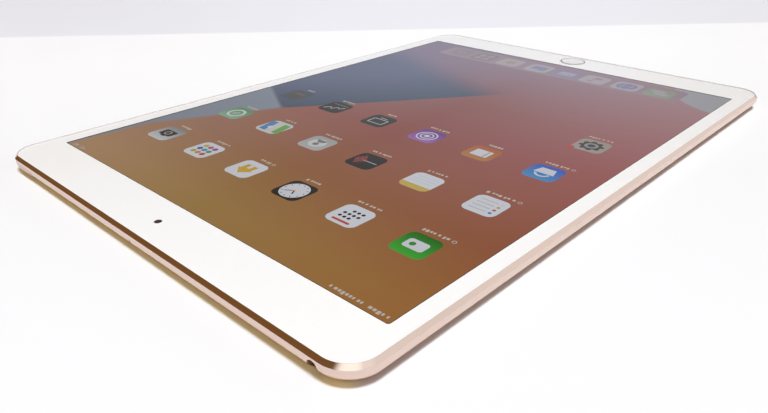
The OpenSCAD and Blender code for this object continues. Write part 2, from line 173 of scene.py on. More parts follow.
def gold_metal():
    """Bead-blasted anodised aluminium with a diamond-cut chamfer, a little rubbed on its edges."""
    r = Recipe("gold_metal", Metallic=1.0)
    place = r.coordinates()
    height = r.split(place)[2]
    normal_up = r.split(r.coordinates("Normal"))[2]
    above = r.spread(height, WALL_TOP - 1.12 * MM, WALL_TOP - 1.08 * MM, 0, 1)
    sloping = r.math("MULTIPLY", r.math("GREATER_THAN", normal_up, 0.25), r.math("LESS_THAN", normal_up, 0.7))
    chamfer = r.math("MULTIPLY", above, sloping)
    grain = r.noise(6500, 2)
    cloud = r.noise(60, 4)
    rubbed = r.spread(r.noise(420, 5, 0.7), 0.62, 0.75, 0, 1)
    # painted shade: the gold turns to the yellower, darker gold below 3.7 mm height, fully so below 2.4 mm
    under = r.spread(height, 2.4 * MM, 3.7 * MM, 1, 0, smooth=True)
    tint = r.mix(under, GOLD, GOLD_PAINTED_UNDER_SHADE)
    tint = r.mix(r.spread(cloud, 0, 1, 0.06, 0), tint, (0.70, 0.50, 0.40))
    tint = r.mix(r.math("MULTIPLY", rubbed, 0.10), tint, (0.90, 0.76, 0.69))
    r.set("Base Color", r.mix(chamfer, tint, (0.86, 0.68, 0.58)))
    blasted = r.math("ADD", r.spread(grain, 0.3, 0.7, 0.26, 0.36), r.math("MULTIPLY", rubbed, -0.05))
    cut = r.spread(r.noise(900, 3), 0.3, 0.7, 0.07, 0.11)
    rough = r.node("Mix", data_type="FLOAT")
    r.feed(rough.inputs[0], chamfer)
    r.feed(rough.inputs[2], blasted)
    r.feed(rough.inputs[3], cut)
    r.set("Roughness", rough.outputs[0])
    smooth_cut = r.math("MULTIPLY", grain, r.math("SUBTRACT", 1, chamfer))
    r.set("Normal", r.bump(smooth_cut, 0.004 * MM, 0.5))
    return r.material


def front_glass():
    """Polished cover glass: a mirror by Fresnel over what lies behind it, with faint wiped smears."""
    r = Recipe("front_glass", Base_Color=(1, 1, 1), Metallic=1.0)
    smear = r.noise(26, 5, 0.6, r.scaled(r.coordinates(), (1, 0.35, 1)))
    r.set("Roughness", r.spread(smear, 0.35, 0.75, 0.015, 0.05))
    clear = r.node("BsdfTransparent")
    blend = r.node("MixShader")
    fresnel = r.node("Fresnel")
    fresnel.inputs["IOR"].default_value = 1.5
    outside = r.math("SUBTRACT", 1, r.node("NewGeometry").outputs["Backfacing"])
    r.feed(blend.inputs[0], r.math("MULTIPLY", fresnel.outputs[0], outside))
    r.feed(blend.inputs[1], clear.outputs[0])
    r.feed(blend.inputs[2], r.shader.outputs[0])
    r.feed(r.output.inputs["Surface"], blend.outputs[0])
    return r.material


def white_ink():
    """White ink printed in several coats under the glass."""
    r = Recipe("white_ink", Specular_IOR_Level=0.2)
    cloud = r.noise(45, 3)
    speck = r.noise(2600, 2)
    r.set("Base Color", r.mix(cloud, (0.945, 0.945, 0.95), (0.965, 0.965, 0.975)))
    r.set("Roughness", r.spread(speck, 0.3, 0.7, 0.42, 0.55))
    r.set("Normal", r.bump(speck, 0.002 * MM, 0.3))
    return r.material


def clear_bond():
    """Clear resin between the screen and the glass."""
    r = Recipe("clear_bond", Base_Color=(0.9, 0.95, 1.0), Alpha=0.12)
    r.set("Roughness", r.spread(r.noise(300, 2), 0.3, 0.7, 0.05, 0.12))
    return r.material


def dark_foam():
    """Black adhesive foam with open cells."""
    r = Recipe("dark_foam")
    cells = r.node("TexVoronoi")
    r.feed(cells.inputs["Vector"], r.coordinates())
    cells.inputs["Scale"].default_value = 2500
    r.set("Base Color", r.mix(cells.outputs["Distance"], (0.012, 0.012, 0.014), (0.05, 0.05, 0.055)))
    r.set("Roughness", r.spread(cells.outputs["Distance"], 0, 0.6, 0.95, 0.75))
    r.set("Normal", r.bump(cells.outputs["Distance"], 0.05 * MM, 0.6))
    return r.material


HALF_PIXEL = 0.048 * MM


def screen_glass():
    """The display panel's polariser, nearly black, with its fine pixel lines."""
    r = Recipe("screen", Specular_IOR_Level=0.4)
    lines = r.math("PINGPONG", r.split(r.coordinates())[1], HALF_PIXEL)
    between = r.spread(lines, 0, HALF_PIXEL, 0, 1)
    r.set("Base Color", r.mix(between, (0.010, 0.010, 0.012), (0.022, 0.022, 0.026)))
    r.set("Roughness", r.spread(r.noise(200, 3), 0.3, 0.7, 0.10, 0.22))
    return r.material


def brushed(name, colour, rough=0.3, across=(60, 4000, 1500)):
    """Rolled sheet metal with fine brush lines along X."""
    r = Recipe(name, Metallic=1.0)
    lines = r.noise(1, 3, 0.6, r.scaled(r.coordinates(), across))
    r.set("Base Color", r.mix(lines, shade(colour, 0.82), shade(colour, 1.12)))
    r.set("Roughness", r.spread(lines, 0.3, 0.7, rough - 0.07, rough + 0.1))
    r.set("Normal", r.bump(lines, 0.004 * MM, 0.5))
    return r.material


def flex_cable():
    """Amber polyimide film with copper tracks showing through."""
    r = Recipe("flex_cable")
    across = r.split(r.coordinates())[0]
    track = r.spread(r.math("PINGPONG", across, 0.3 * MM), 0.13 * MM, 0.17 * MM, 0, 1)
    film = r.mix(r.noise(250, 3), (0.42, 0.20, 0.05), (0.52, 0.27, 0.08))
    r.set("Base Color", r.mix(track, film, (0.60, 0.34, 0.14)))
    r.set("Roughness", r.spread(r.noise(900, 2), 0.3, 0.7, 0.25, 0.4))
    r.set("Normal", r.bump(track, 0.01 * MM, 0.4))
    return r.material


def button_white():
    """The home button's polished white cap, touched a little dull in its middle."""
    r = Recipe("button_white", Coat_Weight=0.6, Coat_Roughness=0.04)
    smudge = r.noise(500, 4, 0.6)
    r.set("Base Color", r.mix(smudge, (0.86, 0.865, 0.87), (0.92, 0.92, 0.92)))
    r.set("Roughness", r.spread(smudge, 0.3, 0.7, 0.16, 0.30))
    return r.material


def moulded(name, colour, rough=0.5, lift=1.5):
    """Moulded plastic with a fine spark-eroded grain."""
    r = Recipe(name, Specular_IOR_Level=0.45)
    grain = r.noise(3800, 3, 0.6)
    cloud = r.noise(90, 2)
    r.set("Base Color", r.mix(cloud, shade(colour, 0.85), shade(colour, lift)))
    r.set("Roughness", r.spread(grain, 0.3, 0.7, rough - 0.1, rough + 0.12))
    r.set("Normal", r.bump(grain, 0.01 * MM, 0.5))
    return r.material


def lens_glass(name, centre, reach):
    """A small coated lens: a dark iris, thin barrel rings and a violet bloom, by distance from its centre."""
    r = Recipe(name, Specular_IOR_Level=0.8, Coat_Weight=1.0, Coat_Roughness=0.02)
    x, y = r.split(r.coordinates())[:2]
    aside = r.math("SUBTRACT", x, centre.x)
    along = r.math("SUBTRACT", y, centre.y)
    away = r.math("SQRT", r.math("ADD", r.math("MULTIPLY", aside, aside), r.math("MULTIPLY", along, along)))
    away = r.math("DIVIDE", away, reach)
    r.set("Base Color", r.ramp(away, [
        (0.00, (0.004, 0.004, 0.008)),
        (0.22, (0.010, 0.008, 0.030)),
        (0.36, (0.045, 0.020, 0.085)),
        (0.42, (0.006, 0.006, 0.008)),
        (0.62, (0.012, 0.012, 0.014)),
        (0.66, (0.060, 0.060, 0.065)),
        (0.70, (0.008, 0.008, 0.009)),
    ]))
    r.set("Roughness", r.spread(r.noise(700, 2), 0.3, 0.7, 0.05, 0.11))
    return r.material


def gold_contacts():
    """Hard gold plating, bright with wipe marks."""
    r = Recipe("gold_contacts", Metallic=1.0)
    wipe = r.noise(1, 3, 0.6, r.scaled(r.coordinates(), (3500, 300, 3500)))
    r.set("Base Color", r.mix(wipe, (0.72, 0.48, 0.16), (0.95, 0.74, 0.36)))
    r.set("Roughness", r.spread(wipe, 0.3, 0.7, 0.14, 0.32))
    return r.material


def circuit_board():
    """Dark green solder mask with copper tracks under it."""
    r = Recipe("circuit_board", Specular_IOR_Level=0.5)
    place = r.coordinates()
    bricks = r.node("TexBrick", offset=0.37, squash=1.6)
    r.feed(bricks.inputs["Vector"], place)
    bricks.inputs["Scale"].default_value = 320
    bricks.inputs["Mortar Size"].default_value = 0.03
    tracks = r.math("SUBTRACT", 1, bricks.outputs["Fac"], clamp=True)
    mask = r.mix(r.noise(120, 3), (0.008, 0.035, 0.026), (0.012, 0.055, 0.040))
    r.set("Base Color", r.mix(tracks, (0.03, 0.11, 0.07), mask))
    r.set("Roughness", r.spread(r.noise(1500, 2), 0.3, 0.7, 0.3, 0.42))
    r.set("Normal", r.bump(tracks, 0.02 * MM, 0.5))
    return r.material


def battery_wrap():
    """Matte black pouch foil, faintly wrinkled."""
    r = Recipe("battery_wrap", Specular_IOR_Level=0.4)
    folds = r.noise(1, 5, 0.6, r.scaled(r.coordinates(), (110, 45, 110)))
    r.set("Base Color", r.mix(folds, (0.018, 0.018, 0.020), (0.05, 0.05, 0.055)))
    r.set("Roughness", r.spread(folds, 0.3, 0.7, 0.38, 0.6))
    r.set("Normal", r.bump(folds, 0.15 * MM, 0.6))
    return r.material


WEAVE = 22000            # radians of wire wave in a metre


def woven_mesh():
    """Fine black wire cloth behind the speaker holes."""
    r = Recipe("woven_mesh", Metallic=1.0)
    place = r.split(r.coordinates())
    over = r.math("SINE", r.math("MULTIPLY", place[0], WEAVE))
    under = r.math("SINE", r.math("MULTIPLY", place[2], WEAVE))
    weave = r.spread(r.math("MULTIPLY", over, under), -1, 1, 0, 1)
    r.set("Base Color", r.mix(weave, (0.01, 0.01, 0.012), (0.22, 0.22, 0.24)))
    r.set("Roughness", r.spread(weave, 0, 1, 0.6, 0.35))
    r.set("Normal", r.bump(weave, 0.03 * MM, 0.8))
    return r.material


def finish_for_slots():
    return {
        "gold_metal": gold_metal(),
        "front_glass": front_glass(),
        "white_ink": white_ink(),
        "clear_bond": clear_bond(),
        "dark_foam": dark_foam(),
        "screen": screen_glass(),
        "steel": brushed("steel", (0.62, 0.62, 0.64)),
        "flex_cable": flex_cable(),
        "button_white": button_white(),
        "black_plastic": moulded("black_plastic", (0.022, 0.022, 0.025), lift=1.9),
        "lens_glass": lens_glass("lens_glass", middle("front_camera_lens"), 1.05 * MM),
        "white_plastic": moulded("white_plastic", (0.80, 0.80, 0.79), lift=1.08),
        "gold_contacts": gold_contacts(),
        "circuit_board": circuit_board(),
        "battery_wrap": battery_wrap(),
        "adhesive_strip": moulded("adhesive_strip", (0.62, 0.61, 0.57), 0.6, 1.1),
        "woven_mesh": woven_mesh(),
        "magnet": brushed("magnet", (0.55, 0.55, 0.57), 0.22),
    }


def middle(node):
    low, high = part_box(node)
    return (low + high) / 2


def smooth_by_angle():
    """A node group that shades a mesh smooth up to an angle between its faces."""
    group = bpy.data.node_groups.new("smooth_by_angle", "GeometryNodeTree")
    group.interface.new_socket("Geometry", in_out="INPUT", socket_type="NodeSocketGeometry")
    group.interface.new_socket("Geometry", in_out="OUTPUT", socket_type="NodeSocketGeometry")
    enter = group.nodes.new("NodeGroupInput")
    leave = group.nodes.new("NodeGroupOutput")
    angle = group.nodes.new("GeometryNodeInputMeshEdgeAngle")
    flat_enough = group.nodes.new("ShaderNodeMath")
    flat_enough.operation = "LESS_THAN"
    flat_enough.inputs[1].default_value = math.radians(20)
    edges = group.nodes.new("GeometryNodeSetShadeSmooth")
    edges.domain = "EDGE"
    faces = group.nodes.new("GeometryNodeSetShadeSmooth")
    group.links.new(enter.outputs[0], faces.inputs[0])
    group.links.new(faces.outputs[0], edges.inputs[0])
    group.links.new(angle.outputs["Unsigned Angle"], flat_enough.inputs[0])
    group.links.new(flat_enough.outputs[0], edges.inputs["Shade Smooth"])
    group.links.new(edges.outputs[0], leave.inputs[0])
    return group


def dress_cad_nodes(finishes):
    group = smooth_by_angle()
    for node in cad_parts.values():
        for slot in node.material_slots:
            slot.material = finishes[slot.material.name.split(".")[0]]
        weld = node.modifiers.new("weld", "WELD")
        weld.merge_threshold = 0.5e-6
        node.modifiers.new("smooth", "NODES").node_group = group
        weighted = node.modifiers.new("weighted", "WEIGHTED_NORMAL")
        weighted.keep_sharp = True
    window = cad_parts["rear_camera_window"]
    window.material_slots[0].material = lens_glass("rear_lens_glass", middle("rear_camera_window"), 3.5 * MM)
    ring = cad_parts["home_button_ring"]
    ring.material_slots[0].material = brushed("ring_metal", (0.86, 0.83, 0.81), 0.42)


# ---------------------------------------------------------------- stage, light and camera

BODY_CORNER = 9.3 * MM
TABLE_LINE = 186 * MM    # how far behind the tablet's middle the table's shade changes
TABLE_RADIUS = 6.0


def table_top():
    """White, cooler and darker beyond a line, with a painted tint under the tablet's edges.

    The tint is painted shade: warm gold along the ends and a darker grey-brown along the sides. It stands in
    for the shadow under the body and the warm light that the gold body throws into it.
    """
    r = Recipe("floor_white", Specular_IOR_Level=0.1)
    x, y = r.split(r.coordinates())[:2]
    behind = r.math("ADD", r.math("MULTIPLY", x, 0.7271), r.math("MULTIPLY", y, -0.6866))
    beyond = r.spread(behind, TABLE_LINE, TABLE_LINE + 6 * MM, 0, 1, smooth=True)
    table = r.mix(r.spread(behind, -0.05, 0.12, 0, 1), (0.90, 0.905, 0.93), (0.97, 0.975, 1.0))
    table = r.mix(beyond, table, (0.83, 0.84, 0.90))
    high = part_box("rear_case")[1]
    past_side = r.math("SUBTRACT", r.math("ABSOLUTE", x), high.x - BODY_CORNER)
    past_end = r.math("SUBTRACT", r.math("ABSOLUTE", y), high.y - BODY_CORNER)
    side_part = r.math("POWER", r.math("MAXIMUM", past_side, 0), 2)
    end_part = r.math("POWER", r.math("MAXIMUM", past_end, 0), 2)
    away = r.math("SUBTRACT", r.math("SQRT", r.math("ADD", side_part, end_part)), BODY_CORNER)
    turn = r.spread(r.math("SUBTRACT", past_end, past_side), -6 * MM, 4 * MM, 0, 1, smooth=True)
    # painted shade under the body's edges: warm gold at the ends, darker grey-brown along the sides
    tint = r.mix(turn, (0.62, 0.52, 0.50), (0.97, 0.84, 0.50))
    edge = r.math("ADD", away, r.spread(turn, 0, 1, 0.5 * MM, 0))
    table = r.mix(r.spread(edge, -1.0 * MM, 0.4 * MM, 1, 0, smooth=True), table, tint)
    r.set("Base Color", table)
    r.set("Roughness", r.spread(r.noise(30, 3), 0.3, 0.7, 0.30, 0.36))
    return r.material


def make_floor():
    mesh = bpy.data.meshes.new("floor")
    shape = bmesh.new()
    bmesh.ops.create_circle(shape, cap_ends=True, segments=96, radius=TABLE_RADIUS)
    shape.to_mesh(mesh)
    shape.free()
    mesh.materials.append(table_top())
    floor = bpy.data.objects.new("floor", mesh)
    floor.location.z = -0.02 * MM
    bpy.context.scene.collection.objects.link(floor)


def make_world():
    """Dim studio walls: pale round the horizon, warm above, a brown side and a bright one."""
    world = bpy.data.worlds.new("studio")
    bpy.context.scene.world = world
    world.use_nodes = True
    r = Wiring(world.node_tree)
    r.tree.nodes.clear()
    sky = r.coordinates("Generated")
    up = r.split(sky)[2]
    light = r.ramp(up, [
        (0.00, (0.24, 0.16, 0.07)),
        (0.40, (0.18, 0.12, 0.06)),
        (1.00, (0.14, 0.11, 0.07)),
    ])

    def patch(azimuth, elevation, inner, outer, colour, below):
        """Lays a round patch of one colour over the light below it, at angles in degrees."""
        across, rise = math.radians(azimuth), math.radians(elevation)
        facing = r.node("VectorMath", operation="DOT_PRODUCT")
        r.feed(facing.inputs[0], sky)
        facing.inputs[1].default_value = (
            math.cos(across) * math.cos(rise), math.sin(across) * math.cos(rise), math.sin(rise))
        rim, core = math.cos(math.radians(outer)), math.cos(math.radians(inner))
        share = r.spread(facing.outputs["Value"], rim, core, 0, 1, smooth=True)
        return r.mix(share, below, colour)

    light = patch(309, 2, 8, 32, (0.52, 0.53, 0.57), light)
    light = patch(240, 14, 12, 26, (0.86, 0.86, 0.88), light)
    light = patch(205, 24, 12, 28, (0.86, 0.86, 0.88), light)
    light = patch(172, 32, 12, 28, (0.95, 0.96, 0.98), light)
    light = patch(128, 38, 14, 34, (1.30, 1.34, 1.34), light)
    light = patch(33, 10, 18, 84, (0.19, 0.10, 0.035), light)
    lamps = r.node("Background")
    r.feed(lamps.inputs["Color"], light)
    seen = r.node("Background")
    r.feed(seen.inputs["Color"], linear(238, 238, 244))
    path = r.node("LightPath")
    both = r.node("MixShader")
    r.feed(both.inputs[0], path.outputs["Is Camera Ray"])
    r.feed(both.inputs[1], lamps.outputs[0])
    r.feed(both.inputs[2], seen.outputs[0])
    out = r.node("OutputWorld")
    r.feed(out.inputs["Surface"], both.outputs[0])


def make_top_light():
    """A broad soft light high overhead that leans a little, left out of reflections."""
    data = bpy.data.lights.new("top_light", "SUN")
    data.energy = 2.5
    data.angle = math.radians(15)
    data.color = (0.94, 0.97, 1.0)
    lamp = bpy.data.objects.new("top_light", data)
    lamp.rotation_euler = Vector((-0.15, 0.05, 1)).to_track_quat("Z", "Y").to_euler()
    lamp.visible_glossy = False
    bpy.context.scene.collection.objects.link(lamp)


def make_camera():
    """Low over the camera end's left corner, looking along the tablet to the home button."""
    azimuth = math.radians(223.487)
    elevation = math.radians(26.882)
    roll = math.radians(-0.436)
    target = Vector((-0.033034, 0.058355, 0))
    distance = 0.208169
    back = Vector((
        math.sin(azimuth) * math.cos(elevation),
        -math.cos(azimuth) * math.cos(elevation),
        math.sin(elevation),
    ))
    right = (-back).cross(Vector((0, 0, 1))).normalized()
    up = right.cross(-back)
    across = right * math.cos(roll) + up * math.sin(roll)
    above = up * math.cos(roll) - right * math.sin(roll)
    data = bpy.data.cameras.new("camera")
    data.lens = 31.3715
    data.sensor_width = 36
    data.clip_start = 0.01
    data.clip_end = 50
    camera = bpy.data.objects.new("camera", data)
    facing = Matrix((across, above, back)).transposed().to_4x4()
    camera.matrix_world = Matrix.Translation(target + back * distance) @ facing
    bpy.context.scene.collection.objects.link(camera)
    bpy.context.scene.camera = camera


# ---------------------------------------------------------------- the picture on the screen

SHEET_LOW, SHEET_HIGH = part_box("optical_adhesive")
SHEET_TOP = SHEET_LOW.z + 0.05 * MM
LAYER = 0.012 * MM
SHEET_INSET = 0.3
SCREEN_OFF = (0.004, 0.004, 0.004)
# colour that the dock's painted dimming washes towards
PAINTED_DIMMING_WASH = (0.32, 0.25, 0.30)
LIT = {}                 # each lit material by its name
COLOURS = {}             # what each lit material was made from


def lit(name, colour, end=None):
    """A lit patch of the screen: one colour, or a run from bottom to top, with a trace of pixel noise."""
    if name in LIT:
        return LIT[name]
    end = end or shade(colour, 0.94)
    r = Recipe("lit_" + name, Base_Color=SCREEN_OFF, Roughness=0.4, Specular_IOR_Level=0.0)
    upward = r.split(r.coordinates("Generated"))[1]
    run = r.mix(upward, colour, end)
    fine = r.spread(r.noise(9000, 1), 0.3, 0.7, 0.97, 1.03)
    tone = r.node("VectorMath", operation="SCALE")
    r.feed(tone.inputs[0], run)
    r.feed(tone.inputs["Scale"], fine)
    r.set("Emission Color", tone.outputs[0])
    r.set("Emission Strength", 1.0)
    LIT[name] = r.material
    COLOURS[r.material.name] = (name, colour, end)
    return r.material


def faint(material):
    """The same patch as the dock shows it, washed out towards the dock's colour: painted dimming standing in
    for the screen growing dim where it is seen at a slant.
    """
    name, colour, end = COLOURS[material.name]
    washed = [
        tuple(0.33 * part + 0.67 * base for part, base in zip(tone, PAINTED_DIMMING_WASH))
        for tone in (colour, end)
    ]
    return lit(name + "_faint", *washed)


class Picture:
    """A flat picture part built up in thin closed layers, in millimetres on the screen."""

    def __init__(self, name):
        self.name = name
        self.shape = bmesh.new()
        self.materials = []

    def slot(self, material):
        if material not in self.materials:
            self.materials.append(material)
        return self.materials.index(material)

    def level(self, layer):
        return SHEET_TOP + layer * LAYER

    def add(self, outline, material, layer, hole=None):
        """A closed prism over an outline, from under the layer to its top. hole is an inner outline."""
        index = self.slot(material)
        top = self.level(layer)
        base = self.level(layer - 1) - 0.3 * LAYER
        loops = []
        for points in filter(None, (outline, hole)):
            for z in (base, top):
                loops.append([self.shape.verts.new((x * MM, y * MM, z)) for x, y in points])
        faces = []
        for i in range(0, len(loops), 2):
            low, high = loops[i], loops[i + 1]
            inward = i > 0
            for a in range(len(low)):
                b = (a + 1) % len(low)
                around = [low[a], low[b], high[b], high[a]]
                faces.append(self.shape.faces.new(around[::-1] if inward else around))
        if hole:
            for a in range(len(outline)):
                b = (a + 1) % len(outline)
                faces.append(self.shape.faces.new([loops[1][a], loops[1][b], loops[3][b], loops[3][a]]))
                faces.append(self.shape.faces.new([loops[0][b], loops[0][a], loops[2][a], loops[2][b]]))
        else:
            faces.append(self.shape.faces.new(loops[1]))
            faces.append(self.shape.faces.new(loops[0][::-1]))
        for face in faces:
            face.material_index = index

    def done(self):
        mesh = bpy.data.meshes.new(self.name)
        self.shape.to_mesh(mesh)
        self.shape.free()
        for material in self.materials:
            mesh.materials.append(material)
        piece = bpy.data.objects.new(self.name, mesh)
        bpy.context.scene.collection.objects.link(piece)
        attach(piece, ROOT)
        return piece


def arc(cx, cy, r, start, stop, steps):
    return [(cx + r * math.cos(math.radians(start + (stop - start) * i / steps)),
             cy + r * math.sin(math.radians(start + (stop - start) * i / steps))) for i in range(steps + 1)]


def disc(cx, cy, r, steps=40):
    return arc(cx, cy, r, 0, 360, steps)[:-1]


def tile_outline(cx, cy, w, h, r, steps=8):
    """A rectangle with round corners."""
    points = []
    for corner, (sx, sy) in enumerate(((1, 1), (-1, 1), (-1, -1), (1, -1))):
        points += arc(cx + sx * (w / 2 - r), cy + sy * (h / 2 - r), r, 90 * corner, 90 * corner + 90, steps)
    return points


def turned(points, cx, cy, degrees):
    c, s = math.cos(math.radians(degrees)), math.sin(math.radians(degrees))
    return [(cx + (x - cx) * c - (y - cy) * s, cy + (x - cx) * s + (y - cy) * c) for x, y in points]


def bar(cx, cy, length, width, degrees=0):
    """A round-ended stroke."""
    return turned(tile_outline(cx, cy, length, width, min(length, width) * 0.499, 5), cx, cy, degrees)


def stroke(points, width):
    """The outline of a bent line of even width."""
    left, right = [], []
    for i, (x, y) in enumerate(points):
        ax, ay = points[max(i - 1, 0)]
        bx, by = points[min(i + 1, len(points) - 1)]
        run = math.hypot(bx - ax, by - ay)
        nx, ny = -(by - ay) / run * width / 2, (bx - ax) / run * width / 2
        left.append((x + nx, y + ny))
        right.append((x - nx, y - ny))
    return right + left[::-1]


WHITE = (0.53, 0.55, 0.60)
INK = (0.006, 0.006, 0.007)


def white():
    return lit("white", WHITE)


def ink():
    return lit("ink", INK)


def words():
    return lit("words", (0.47, 0.42, 0.37))


def grey(level):
    return lit("grey_%03d" % int(level * 1000), (level, level * 1.01, level * 1.03))


def make_wallpaper():
    """The lit sheet: soft slopes of ochre and red, a slate wing across them and a grey corner."""
    r = Recipe("wallpaper", Base_Color=SCREEN_OFF, Roughness=0.4, Specular_IOR_Level=0.0)
    x, y = r.split(r.scaled(r.coordinates(), (1000, 1000, 1000)))[:2]
    down = r.spread(y, 107, -107, 0, 1)
    left = r.ramp(down, [
        (0.04, (0.285, 0.125, 0.033)),
        (0.20, (0.245, 0.076, 0.034)),
        (0.50, (0.300, 0.095, 0.100)),
        (0.78, (0.340, 0.180, 0.205)),
        (1.00, (0.380, 0.250, 0.290)),
    ])
    centre = r.ramp(down, [
        (0.04, (0.287, 0.172, 0.057)),
        (0.20, (0.245, 0.095, 0.032)),
        (0.42, (0.220, 0.048, 0.034)),
        (0.64, (0.228, 0.064, 0.056)),
        (0.80, (0.240, 0.125, 0.155)),
        (1.00, (0.290, 0.205, 0.265)),
    ])
    right = r.ramp(down, [
        (0.04, (0.355, 0.222, 0.130)),
        (0.20, (0.300, 0.168, 0.122)),
        (0.42, (0.280, 0.100, 0.078)),
        (0.78, (0.190, 0.150, 0.245)),
        (1.00, (0.185, 0.155, 0.235)),
    ])
    ground = r.mix(r.spread(x, -78, 0, 0, 1), left, centre)
    ground = r.mix(r.spread(x, 0, 70, 0, 1), ground, right)
    # the wing lies to the right of a slanted line, and fades out towards the home button
    across = r.math("SUBTRACT", r.math("MULTIPLY", x, 0.801), r.math("MULTIPLY", y, 0.598))
    inside = r.math("SUBTRACT", across, 25.1)
    lifted = r.math("ADD", y, r.math("MULTIPLY", inside, 0.35))
    tip = r.spread(lifted, -54, -33, 0, 1, smooth=True)
    wing = r.math("MULTIPLY", r.spread(inside, -0.5, 0.5, 0, 1), tip)
    wing = r.math("MULTIPLY", wing, r.spread(y, 32, 26, 0, 1))
    slate = r.mix(r.spread(inside, 0, 40, 0, 1), (0.030, 0.060, 0.110), (0.080, 0.110, 0.200))
    ground = r.mix(wing, ground, slate)
    # above it a pale blue wedge runs up the right-hand edge
    upper_edge = r.math("ADD", r.spread(y, 29, 75, 53, 76.5), r.spread(y, 75, 107, 0, 2.5))
    upper = r.spread(r.math("SUBTRACT", x, upper_edge), -1.5, 2.5, 0, 1, smooth=True)
    lower_edge = r.spread(x, 53, 80, 29, 13)
    over = r.spread(r.math("SUBTRACT", y, lower_edge), -1.5, 1.5, 0, 1, smooth=True)
    upper = r.math("MULTIPLY", upper, over)
    ground = r.mix(upper, ground, (0.195, 0.238, 0.300))
    corner_x = r.math("POWER", r.math("ADD", x, 86), 2)
    corner_y = r.math("POWER", r.math("ADD", y, 112), 2)
    from_corner = r.math("ADD", corner_x, corner_y)
    corner = r.spread(r.math("SQRT", from_corner), 29.5, 30.5, 1, 0)
    ground = r.mix(corner, ground, (0.330, 0.340, 0.385))
    cloud = r.noise(14, 2)
    ground = r.mix(r.math("MULTIPLY", cloud, 0.04), ground, (0.30, 0.16, 0.12))
    r.set("Emission Color", ground)
    r.set("Emission Strength", 1.0)
    sheet = Picture("screen_wallpaper")
    w = (SHEET_HIGH.x - SHEET_LOW.x) / MM - 2 * SHEET_INSET
    h = (SHEET_HIGH.y - SHEET_LOW.y) / MM - 2 * SHEET_INSET
    sheet.add(tile_outline(0, 0, w, h, 0.75), r.material, 0)
    piece = sheet.done()
    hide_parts("optical_adhesive")


COLUMNS = (-62.0, -37.3, -12.6, 12.1, 36.8, 61.5)
ROWS = (76.8, 45.4, 13.4, -18.3)
TILE = 11.7
TILE_CORNER = 2.6
WORDS_DROP = 8.1         # a word line's middle below its tile's middle
WITH_RING = (0, 3, 6, 12)    # tiles whose word line starts with a small ring


def blocks(picture, cx, cy, width, seed):
    """A line of plain blocks that stands for words: it holds no letters."""
    height = 1.35
    pick = random.Random(seed)
    place = cx - width / 2
    while place < cx + width / 2:
        block = pick.uniform(0.6, 1.1)
        tall = height * pick.choice((0.72, 0.72, 1.0))
        outline = tile_outline(place + block / 2, cy - (height - tall) / 2, block, tall, 0.2, 3)
        picture.add(outline, words(), 1)
        place += block + pick.choice((0.36, 0.36, 0.36, 0.9))


# Each drawing gets its picture and its tile's centre.

def draw_video(p, x, y):
    green = lit("lens_green", (0.02, 0.22, 0.02))
    p.add(tile_outline(x, y, 7.0, 4.8, 1.1), white(), 2)
    p.add(disc(x + 1.2, y, 1.0, 24), green, 3)


def draw_calendar(p, x, y):
    p.add(tile_outline(x, y + 4.0, 7.0, 1.0, 0.45), lit("calendar_red", (0.42, 0.06, 0.05)), 2)
    for row in range(3):
        for column in range(4):
            if (row, column) not in ((0, 0), (2, 3)):
                p.add(disc(x - 2.7 + 1.8 * column, y + 1.6 - 2.1 * row, 0.62, 16), ink(), 2)


def draw_clock(p, x, y):
    p.add(disc(x, y, 5.0, 64), white(), 2)
    for hour in range(12):
        angle = math.radians(30 * hour)
        p.add(bar(x + 4.2 * math.cos(angle), y + 4.2 * math.sin(angle), 0.75, 0.26, 30 * hour), ink(), 3)
    for degrees, length, width in ((118, 2.4, 0.5), (35, 3.4, 0.36)):
        angle = math.radians(degrees)
        p.add(bar(x + length / 2 * math.cos(angle), y + length / 2 * math.sin(angle), length, width, degrees),
              ink(), 3)
    p.add(disc(x, y, 0.45, 20), lit("orange", (0.80, 0.28, 0.03)), 4)


def draw_home(p, x, y):
    amber = lit("amber", (0.46, 0.27, 0.025), (0.50, 0.34, 0.05))
    p.add([(x - 2.7, y - 3.0), (x + 2.7, y - 3.0), (x + 2.7, y + 0.4), (x + 3.7, y + 0.4), (x, y + 3.8),
           (x - 3.7, y + 0.4), (x - 2.7, y + 0.4)], amber, 2)
    p.add(tile_outline(x, y - 1.7, 1.5, 2.4, 0.3), white(), 3)


def draw_paints(p, x, y):
    red, orange, olive = (0.42, 0.07, 0.04), (0.46, 0.22, 0.04), (0.34, 0.33, 0.05)
    green, sky, navy = (0.08, 0.24, 0.10), (0.05, 0.22, 0.40), (0.07, 0.09, 0.32)
    violet, pink, yellow = (0.22, 0.07, 0.30), (0.40, 0.08, 0.20), (0.42, 0.34, 0.08)
    for i, colour in enumerate((red, orange, olive, green, sky, navy, violet, pink, yellow)):
        p.add(disc(x - 2.7 + 2.7 * (i % 3), y + 2.7 - 2.7 * (i // 3), 1.12, 20),
              lit("paint_%d" % i, colour), 2)


def draw_camera(p, x, y):
    dark = lit("camera_dark", (0.03, 0.035, 0.04))
    p.add(tile_outline(x, y - 0.4, 7.2, 4.6, 1.0), dark, 2)
    p.add(tile_outline(x - 0.2, y + 2.1, 2.6, 1.0, 0.3), dark, 2)
    p.add(disc(x, y - 0.4, 1.6, 28), grey(0.32), 3, disc(x, y - 0.4, 1.05, 28))


def draw_list(p, x, y):
    blue, red, amber, pale = (0.05, 0.15, 0.44), (0.38, 0.08, 0.06), (0.40, 0.28, 0.08), (0.50, 0.50, 0.53)
    for i, colour in enumerate((blue, red, amber, pale)):
        line = y + 3.3 - 2.2 * i
        p.add(disc(x - 3.6, line, 0.6, 16), lit("bullet_%d" % i, colour), 2)
        p.add(bar(x + 1.0, line, 6.2, 0.34), grey(0.36), 2)


